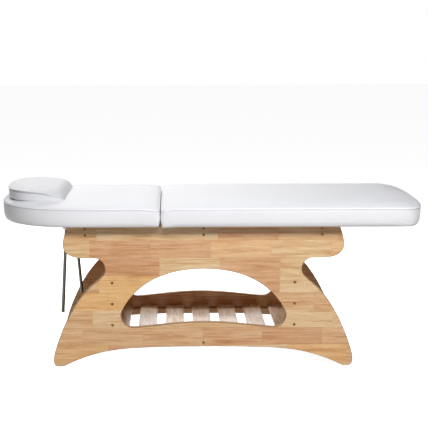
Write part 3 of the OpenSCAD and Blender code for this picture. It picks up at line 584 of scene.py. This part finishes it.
def sewn_up(name, rings, heights, seam_shades, top_height, settle, nx, ny, seam):
    """A closed cushion: rings of points one above the other, and a patch of nx by ny faces
    inside the first and the last. top_height gives the height of a point inside the last ring
    and settle the final height of every point. Returns the piece and which points are held:
    the stapled edge, the underside and the rows at the seam."""
    count = len(rings[0])
    top = patch(rings[-1], nx, ny)[1:-1, 1:-1].reshape(-1, 2)
    bottom = patch(rings[0], nx, ny)[1:-1, 1:-1].reshape(-1, 2)
    flat = np.vstack(rings + [top, bottom])
    height = np.concatenate(heights + [top_height(top), np.full(len(bottom), heights[0][0])])
    faces = strip_faces(len(rings), count)
    inner = np.arange((ny - 1) * (nx - 1)).reshape(ny - 1, nx - 1)
    for start, ring_start, flip in ((len(rings) * count, (len(rings) - 1) * count, False),
                                    (len(rings) * count + len(top), 0, True)):
        board = np.empty((ny + 1, nx + 1), int)
        board[1:-1, 1:-1] = inner + start
        around = ring_start + np.arange(count)
        board[0, :], board[:, -1] = around[:nx + 1], around[nx:nx + ny + 1]
        board[-1, ::-1], board[1:, 0] = around[nx + ny:2 * nx + ny + 1], around[2 * nx + ny:][::-1]
        quads = np.stack([board[:-1, :-1], board[:-1, 1:], board[1:, 1:], board[1:, :-1]], -1)
        faces += (quads[..., ::-1] if flip else quads).reshape(-1, 4).tolist()
    piece = surface(name, np.column_stack([flat, settle(flat, height)]), faces)
    # Each ring's share of painted shade, for the grey seam lines in the vinyl; none on the top and
    # bottom patches.
    seam_shade = np.concatenate([np.full(count, c) for c in seam_shades]
                            + [np.zeros(len(top) + len(bottom))])
    piece.data.attributes.new("seam_shade", "FLOAT", "POINT").data.foreach_set("value", seam_shade)
    held = np.concatenate([np.full(count, k < STAPLED_ROWS or abs(k - seam) < SEAM_REACH)
                           for k in range(len(rings))]
                          + [np.zeros(len(top), bool), np.ones(len(bottom), bool)])
    return piece, held


def cover(name, ring_at, nx, ny, hinge_face, facing, droop):
    """A seat or backrest cover: rows of rings for the side band, then the top panel. facing is
    the direction from the hinge to the cushion, and droop lowers its lower hinge corners."""
    def from_hinge(x):
        return (x - hinge_face) * facing

    rings = [ring_at(inset, hinge_inset) for inset, hinge_inset, _ in ROWS]
    rings += [ring_at(inset, inset) for inset in TOP_INSETS]
    count, edge = len(rings[0]), ring_at(0, 0)
    heights = [np.full(count, height) for height in ROWS[:, 2]]
    heights += [PIPING_UP + PIPING_LIFT + crown(inset, from_hinge(ring[:, 0]))
                - PIPING_SINK * np.exp(-inset / SINK_W)
                for inset, ring in zip(TOP_INSETS, rings[len(ROWS):])]
    # Painted shade along the piping: a dark line on the band just under it, and a faint one on the
    # top just inside it.
    band_seam_shade = np.exp(-((ROWS[:, 2] - PIPING_UP + BAND_CREASE) / BAND_CREASE_W) ** 2)
    top_seam_shade = TOP_SEAM_SHADE_SHARE * np.exp(-((TOP_INSETS - TOP_CREASE) / TOP_CREASE_W) ** 2)

    def top_height(top):
        apart = np.concatenate([np.hypot(*(part[:, None] - edge[None]).transpose(2, 0, 1)).min(1)
                                for part in np.array_split(top, BATCHES)])
        return PIPING_UP + crown(apart, from_hinge(top[:, 0]))

    def settle(flat, height):
        near = np.exp(-(from_hinge(flat[:, 0]) / HINGE_DIP_L) ** 2)
        corner = near * np.exp(-((HALF_W - np.abs(flat[:, 1])) / DROOP_W) ** 2)
        return (UNDERSIDE + height - HINGE_DIP * near * np.clip(height / PIPING_UP, 0, 1) ** 2
                - droop * corner * np.clip(1 - height / DROOP_H, 0, 1))

    return sewn_up(name, rings, heights, np.r_[band_seam_shade, top_seam_shade], top_height, settle,
                   nx, ny, len(ROWS) - 2)


def points_of(thing):
    """Where the points of a mesh are, one row each."""
    flat = np.empty(len(thing.data.vertices) * 3)
    thing.data.vertices.foreach_get("co", flat)
    return flat.reshape(-1, 3)


def move_points(piece, points):
    """Puts the points of a mesh where the rows say."""
    piece.data.vertices.foreach_set("co", points.ravel())
    piece.data.update()


PRESSURE, PUFF_CAP, PUFF_STEPS, CLOTH_QUALITY, CLOTH_MASS = 4.0, 0.003, 20, 6, 0.3


def puff(piece, held, cap=PUFF_CAP):
    """Cloth under inner pressure, held at its seams. Each point then moves by the settled
    shift, shortened smoothly to the cap: shift x cap / (cap + its length)."""
    before = points_of(piece)
    group = piece.vertex_groups.new(name="held")
    group.add(np.flatnonzero(held).tolist(), 1.0, "REPLACE")
    cloth = piece.modifiers.new("puff", "CLOTH")
    cloth.settings.quality = CLOTH_QUALITY
    cloth.settings.mass = CLOTH_MASS
    cloth.settings.use_pressure = True
    cloth.settings.uniform_pressure_force = PRESSURE
    cloth.settings.effector_weights.gravity = 0
    cloth.settings.vertex_group_mass = "held"
    cloth.collision_settings.use_collision = False
    cloth.collision_settings.use_self_collision = False
    for step in range(1, PUFF_STEPS + 1):
        bpy.context.scene.frame_set(step)
    after = points_of(piece.evaluated_get(bpy.context.evaluated_depsgraph_get()))
    piece.modifiers.remove(cloth)
    piece.vertex_groups.remove(group)
    bpy.context.scene.frame_set(1)
    shift = after - before
    move_points(piece, before + shift * cap / (cap + np.linalg.norm(shift, axis=1)[:, None]))


def hoops(path, out, over, r, sides):
    """Circles of radius r round the points of a path, in the plane of out and over."""
    a = np.linspace(0, 2 * np.pi, sides, endpoint=False)
    return path[:, None] + np.reshape(r, (-1, 1, 1)) * (np.cos(a)[None, :, None] * out[:, None]
                                                        + np.sin(a)[None, :, None] * over[:, None])


def piping(name, ring, height, r=PIPING_R, sides=10):
    """A round cord in vinyl, carried along a closed path: at each point a circle of radius r in
    the plane of the outward direction and the vertical."""
    path = np.column_stack([ring, height])
    ahead = np.roll(path, -1, 0) - np.roll(path, 1, 0)
    ahead /= np.linalg.norm(ahead, axis=1)[:, None]
    out = np.cross(ahead, (0, 0, 1.0))
    out /= np.linalg.norm(out, axis=1)[:, None]
    tube = hoops(path, out, np.cross(out, ahead), r, sides)
    k, i = np.meshgrid(np.arange(len(path)), np.arange(sides), indexing="ij")
    k2, j = (k + 1) % len(path), (i + 1) % sides
    quads = np.stack([k * sides + i, k2 * sides + i, k2 * sides + j, k * sides + j], -1)
    return surface(name, tube.reshape(-1, 3), quads.reshape(-1, 4).tolist())


# The grey and its share for the painted shade along the seams, where the creases lie in shadow.
SEAM_SHADE_GREY, SEAM_SHADE_SHARE, CLOUD_SHARE = (0.36, 0.36, 0.42, 1), 0.8, 0.975
FINE_SHARE, VINYL_ROUGHNESS = 0.4, (0.33, 0.42)


def white_vinyl(name, colour):
    """Coated cloth with a fine pressed grain: small cells and finer noise as relief, a faint
    cloudiness in its white, and painted shade: grey lines along the piping, where its creases lie
    in shadow."""
    material, tree, shader = finish(name, 0.36, Coat_Weight=0.06, Coat_Roughness=0.3)
    place = add(tree, "ShaderNodeTexCoord").outputs["Object"]
    cells = add(tree, "ShaderNodeTexVoronoi", {"Vector": place, "Scale": 620}).outputs["Distance"]
    fine = add(tree, "ShaderNodeTexNoise",
               {"Vector": place, "Scale": 1500, "Detail": 2}).outputs["Fac"]
    cloud = add(tree, "ShaderNodeTexNoise",
                {"Vector": place, "Scale": 5, "Detail": 3}).outputs["Fac"]
    tone = ramp(tree, cloud, [(0.3, tuple(c * CLOUD_SHARE for c in colour)), (0.7, colour)])
    # Painted shade: the seam lines grey the white by their share.
    seam_shade = add(tree, "ShaderNodeAttribute", attribute_name="seam_shade").outputs["Fac"]
    tone = tint(tree, maths(tree, "MULTIPLY", seam_shade, SEAM_SHADE_SHARE), tone, SEAM_SHADE_GREY)
    tree.links.new(tone, shader.inputs["Base Color"])
    tree.links.new(spread(tree, cloud, *NOISE_RANGE, *VINYL_ROUGHNESS), shader.inputs["Roughness"])
    relief = maths(tree, "ADD", cells, maths(tree, "MULTIPLY", fine, FINE_SHARE))
    bump = add(tree, "ShaderNodeBump", {"Height": relief, "Strength": 0.10, "Distance": 0.0004})
    tree.links.new(bump.outputs[0], shader.inputs["Normal"])
    return material


VINYL_WHITE = (0.859, 0.865, 0.900)
vinyl = white_vinyl("white_vinyl", VINYL_WHITE)
ROOM_X, ROOM_Y, ROOM_Z = -0.2178, (0.334, 0.350), (0.690, 0.705)
WELT_R, WELT_TIP_SHARE, WELT_FOOT_SHARE, WELT_TOP = 0.0013, 0.2, 0.3, 0.001


def make_room(piece):
    """The foam gives way to the edge of the rising backrest board: low on the hinge face, x is
    at least ROOM_X, fading out over ROOM_Y towards the sides and over ROOM_Z above."""
    points = points_of(piece)
    x, y, z = points.T
    share = (np.clip((ROOM_Y[1] - np.abs(y)) / (ROOM_Y[1] - ROOM_Y[0]), 0, 1)
             * np.clip((ROOM_Z[1] - z) / (ROOM_Z[1] - ROOM_Z[0]), 0, 1))
    points[:, 0] = x + share * (np.maximum(x, ROOM_X) - x)
    move_points(piece, points)


def corner_welts(name, piece, ring_at, facing, sides=8):
    """The upright seams at the hinge corners: thin cords along the cover's own points, up the
    two corners of its plan. Each is a circle of WELT_R round the path, shrunk at both ends."""
    points, ring, rows = points_of(piece), ring_at(0, 0), np.arange(2, len(ROWS) - 3)
    shells, faces = [], []
    for side in (-1, 1):
        corner = int(np.argmax(ring @ (-facing, side)))
        path = points[rows * len(ring) + corner]
        path = np.vstack([path[:1] - (path[1] - path[0]) * WELT_FOOT_SHARE, path,
                          path[-1:] + (0, 0, WELT_TOP)])
        ahead = np.gradient(path, axis=0)
        ahead /= np.linalg.norm(ahead, axis=1)[:, None]
        out = np.array([-facing, side, 0.0]) / np.sqrt(2)
        out = out - ahead * (ahead @ out)[:, None]
        out /= np.linalg.norm(out, axis=1)[:, None]
        r = np.full(len(path), WELT_R)
        r[[0, -1]] = WELT_R * WELT_TIP_SHARE
        start = sum(len(shell) for shell in shells)
        shells.append(hoops(path, out, np.cross(ahead, out), r, sides).reshape(-1, 3))
        faces += strip_faces(len(path), sides, start)
        faces += [list(range(start, start + sides))[::-1],
                  list(range(start + (len(path) - 1) * sides, start + len(path) * sides))]
    welts = surface(name, np.vstack(shells), faces)
    welts.data.materials.append(vinyl)
    return welts


def piping_height(ring, hinge_face, facing):
    """The piping keeps the seam's height, and dips towards the hinge end by the bell curve
    exp(-(distance / length)^2)."""
    away = (ring[:, 0] - hinge_face) * facing
    return UNDERSIDE + PIPING_UP - HINGE_DIP * np.exp(-(away / HINGE_DIP_L) ** 2)


seat_face = HINGE_X + HINGE_GAP
seat, seat_held = cover("seat_cover", seat_ring, *SEAT_FACES, seat_face, 1, SEAT_DROOP)
puff(seat, seat_held)
make_room(seat)
seat.data.materials.append(vinyl)
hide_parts("seat_cushion")
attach(seat, "base")
seat_line = seat_ring(PIPING_INSET, PIPING_INSET)
seat_piping = piping("seat_piping", seat_line, piping_height(seat_line, seat_face, 1))
seat_piping.data.materials.append(vinyl)
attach(seat_piping, "base")
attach(corner_welts("seat_welts", seat, seat_ring, 1), "base")

# --- Backrest cushion ------------------------------------------------------------------------
# The same build on the backrest board, with a rounded head end.

HEAD_X, HEAD_L, HEAD_POWER = -0.944, 0.430, 2.5
BACK_SIDE_STEPS, BACK_END_STEPS, BACK_FACES = 32, 176, (83, 80)


def backrest_ring(inset, hinge_inset):
    """The backrest's plan: small corners at the hinge, and half a superellipse at the head."""
    x1, xc, y = HINGE_X - HINGE_GAP - hinge_inset, HEAD_X + HEAD_L + inset / 2, HALF_W - inset
    pull, h = WAIST * max(1 - max(inset, 0) / SIDE_DRAW, 0), HINGE_R
    ring = np.vstack([run(xc, -y, x1 - h, -y, BACK_SIDE_STEPS, pull),
                      quarter(x1 - h, h - y, h, -90, CORNER_STEPS),
                      run(x1, h - y, x1, y - h, HINGE_STEPS),
                      quarter(x1 - h, y - h, h, 0, CORNER_STEPS),
                      run(x1 - h, y, xc, y, BACK_SIDE_STEPS, pull),
                      round_end(xc, HEAD_L - inset / 2, y, HEAD_POWER, -1, BACK_END_STEPS)])
    return np.roll(ring, BACK_FACES[0] - BACK_SIDE_STEPS - CORNER_STEPS // 2, 0)


back_face = HINGE_X - HINGE_GAP
backrest, backrest_held = cover("backrest_cover", backrest_ring, *BACK_FACES, back_face, -1, 0.0)
puff(backrest, backrest_held)
backrest.data.materials.append(vinyl)
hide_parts("backrest_cushion", "backrest_cushion_fold")
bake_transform(backrest)
back_line = backrest_ring(PIPING_INSET, PIPING_INSET)
backrest_piping = piping("backrest_piping", back_line, piping_height(back_line, back_face, -1))
backrest_piping.data.materials.append(vinyl)
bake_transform(backrest_piping)
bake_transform(corner_welts("backrest_welts", backrest, backrest_ring, -1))

# --- Pillow ----------------------------------------------------------------------------------
# A loose foam pillow in the same vinyl: round on the head side with a side band that runs out
# to nothing at the neck, so that the top panel slopes down to the piping there.

PILLOW_X0, PILLOW_L, PILLOW_HALF_W = -0.919, 0.269, 0.241
PILLOW_Z, PILLOW_H, SEAM_H, SEAM_POWER = 0.7416, 0.051, 0.041, 4
PILLOW_CORNER_R, PILLOW_ROUND_L, PILLOW_POWER = 0.059, 0.200, 2.7
PILLOW_CROWN_W, PILLOW_CROWN_POWER, PILLOW_PUFF_CAP = 0.48, 1.6, 0.005
PIPING_FOOT, PILLOW_PIPING_R, PILLOW_PIPING_SHARE = 0.003, 0.0026, 0.004
SEAM_ROW, SEAM_SHARE, TUCK_SHARE, SEAM_LIP = 12, 0.012, 0.003, 0.0004
PILLOW_MIDDLE, PILLOW_CORNER_STEPS, PILLOW_SIDE_STEPS = 0.57, 12, 4
PILLOW_NECK_STEPS, PILLOW_END_STEPS, PILLOW_FACES = 48, 96, (28, 60)
UNDER_SHARES, BAND_ROWS, TOP_ROWS, TOP_SHARES = (0.06, 0.04, 0.022), 9, 16, (0.145, 0.693)
PILLOW_WHITE = (0.750, 0.754, 0.778)


def pillow_ring(k):
    """The pillow's plan, shrunk by the share k towards a point near its middle: two corners on
    the neck side and half a superellipse on the head side."""
    x1, xc = PILLOW_X0 + PILLOW_L, PILLOW_X0 + PILLOW_ROUND_L
    y, r = PILLOW_HALF_W, PILLOW_CORNER_R
    middle = np.array((PILLOW_X0 + PILLOW_MIDDLE * PILLOW_L, 0))
    ring = np.vstack([run(xc, -y, x1 - r, -y, PILLOW_SIDE_STEPS),
                      quarter(x1 - r, r - y, r, -90, PILLOW_CORNER_STEPS),
                      run(x1, r - y, x1, y - r, PILLOW_NECK_STEPS),
                      quarter(x1 - r, y - r, r, 0, PILLOW_CORNER_STEPS),
                      run(x1 - r, y, xc, y, PILLOW_SIDE_STEPS),
                      round_end(xc, PILLOW_ROUND_L, y, PILLOW_POWER, -1, PILLOW_END_STEPS)])
    turn = PILLOW_FACES[0] - PILLOW_SIDE_STEPS - PILLOW_CORNER_STEPS // 2
    return np.roll((ring - middle) * (1 - k) + middle, turn, 0)


def seam_height(flat):
    """Height of the pillow's piping: full at the head side, and less by the fourth power of the
    way to the neck."""
    u = np.clip((flat[:, 0] - PILLOW_X0) / PILLOW_L, 0, 1)
    return SEAM_H * (1 - u ** SEAM_POWER) + PIPING_FOOT


def pillow_crown(flat, k):
    """Height of the top panel: from the seam at the plan's edge up a superelliptic rise to the
    pillow's height where the plan has shrunk by the crown's width."""
    swollen = swell(k / PILLOW_CROWN_W, PILLOW_CROWN_POWER)
    return seam_height(flat) + (PILLOW_H - seam_height(flat)) * swollen


# Rows of the pillow as shares by which the plan shrinks: three underneath, nine up the side band
# at shares of the seam's height, one at the seam, and sixteen over the top.
band = SEAM_SHARE * np.linspace(0.9, 0, BAND_ROWS) ** 2 + TUCK_SHARE
shrunk = np.r_[UNDER_SHARES, band, SEAM_SHARE, np.linspace(*TOP_SHARES, TOP_ROWS) ** 2]
up_shares = np.r_[np.zeros(len(UNDER_SHARES)), np.linspace(0.02, 1, BAND_ROWS)]
pillow_rings = [pillow_ring(k) for k in shrunk]
pillow_z = [seam_height(ring) * up for ring, up in zip(pillow_rings, up_shares)]
pillow_z += [pillow_crown(ring, k - SEAM_SHARE) + SEAM_LIP
             for ring, k in zip(pillow_rings[SEAM_ROW:], shrunk[SEAM_ROW:])]
pillow_rows = np.arange(len(shrunk))
# Painted shade at the pillow's seam: a dark line at the piping row, and one nearly as dark two
# rows below it on the band.
pillow_seam_shades = np.where(pillow_rows == SEAM_ROW, 1.0, 0.9 * (pillow_rows == SEAM_ROW - 2))
pillow, pillow_held = sewn_up("pillow_cover", pillow_rings, pillow_z, pillow_seam_shades,
                              lambda top: np.full(len(top), PILLOW_H),
                              lambda flat, height: PILLOW_Z + height, *PILLOW_FACES, SEAM_ROW)
puff(pillow, pillow_held, PILLOW_PUFF_CAP)
pillow_vinyl = white_vinyl("pillow_vinyl", PILLOW_WHITE)
pillow.data.materials.append(pillow_vinyl)
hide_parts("pillow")
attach(pillow, "pillow")
pillow_line = pillow_ring(PILLOW_PIPING_SHARE)
pillow_piping = piping("pillow_piping", pillow_line, PILLOW_Z + seam_height(pillow_line),
                       r=PILLOW_PIPING_R)
pillow_piping.data.materials.append(pillow_vinyl)
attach(pillow_piping, "pillow")

# --- Steel -----------------------------------------------------------------------------------
# Zinc-plated hinges, brackets and screws, bronzed bolts, and two prop legs of dark grey steel
# tube that swing on pivot bolts under the backrest.

MARK_SHARE, MARK_DRAW = 0.78, (60, 60, 4)


def steel(name, colour, low, high):
    """Metal with fine marks drawn out along one direction: noise moves its tone and gloss."""
    material, tree, shader = finish(name, low, Metallic=1.0)
    place = add(tree, "ShaderNodeTexCoord").outputs["Object"]
    stretched = add(tree, "ShaderNodeMapping", {"Vector": place, "Scale": MARK_DRAW}).outputs[0]
    marks = add(tree, "ShaderNodeTexNoise", {"Vector": stretched, "Scale": 14, "Detail": 5,
                "Roughness": 0.65}).outputs["Fac"]
    tone = ramp(tree, marks, [(0.3, tuple(c * MARK_SHARE for c in colour)), (0.7, colour)])
    tree.links.new(tone, shader.inputs["Base Color"])
    tree.links.new(spread(tree, marks, *NOISE_RANGE, high, low), shader.inputs["Roughness"])
    bump = add(tree, "ShaderNodeBump", {"Height": marks, "Strength": 0.12, "Distance": 0.0001})
    tree.links.new(bump.outputs[0], shader.inputs["Normal"])
    return material


plated = steel("plated_steel", (0.56, 0.57, 0.58), low=0.25, high=0.42)
tube_steel = steel("tube_steel", (0.110, 0.107, 0.097), low=0.26, high=0.40)
black_steel = steel("black_steel", (0.270, 0.140, 0.060), low=0.40, high=0.55)
dress(plated, "steel", "slat_screws", "seat_brackets", "seat_bracket_screws", "hinge_seat_leaves",
      "hinge_pins", "hinge_seat_screws", "hinge_backrest_leaves", "hinge_backrest_screws",
      "front_prop_bracket", "back_prop_bracket", "prop_bracket_screws", "front_prop_pin",
      "back_prop_pin")
dress(tube_steel, "steel", "front_prop_tube", "back_prop_tube")
dress(black_steel, "dark_steel", "front_panel_bolts", "back_panel_bolts")

# --- End -------------------------------------------------------------------------------------
# Colours are shown as they are.

bpy.context.scene.view_settings.view_transform = "Standard"
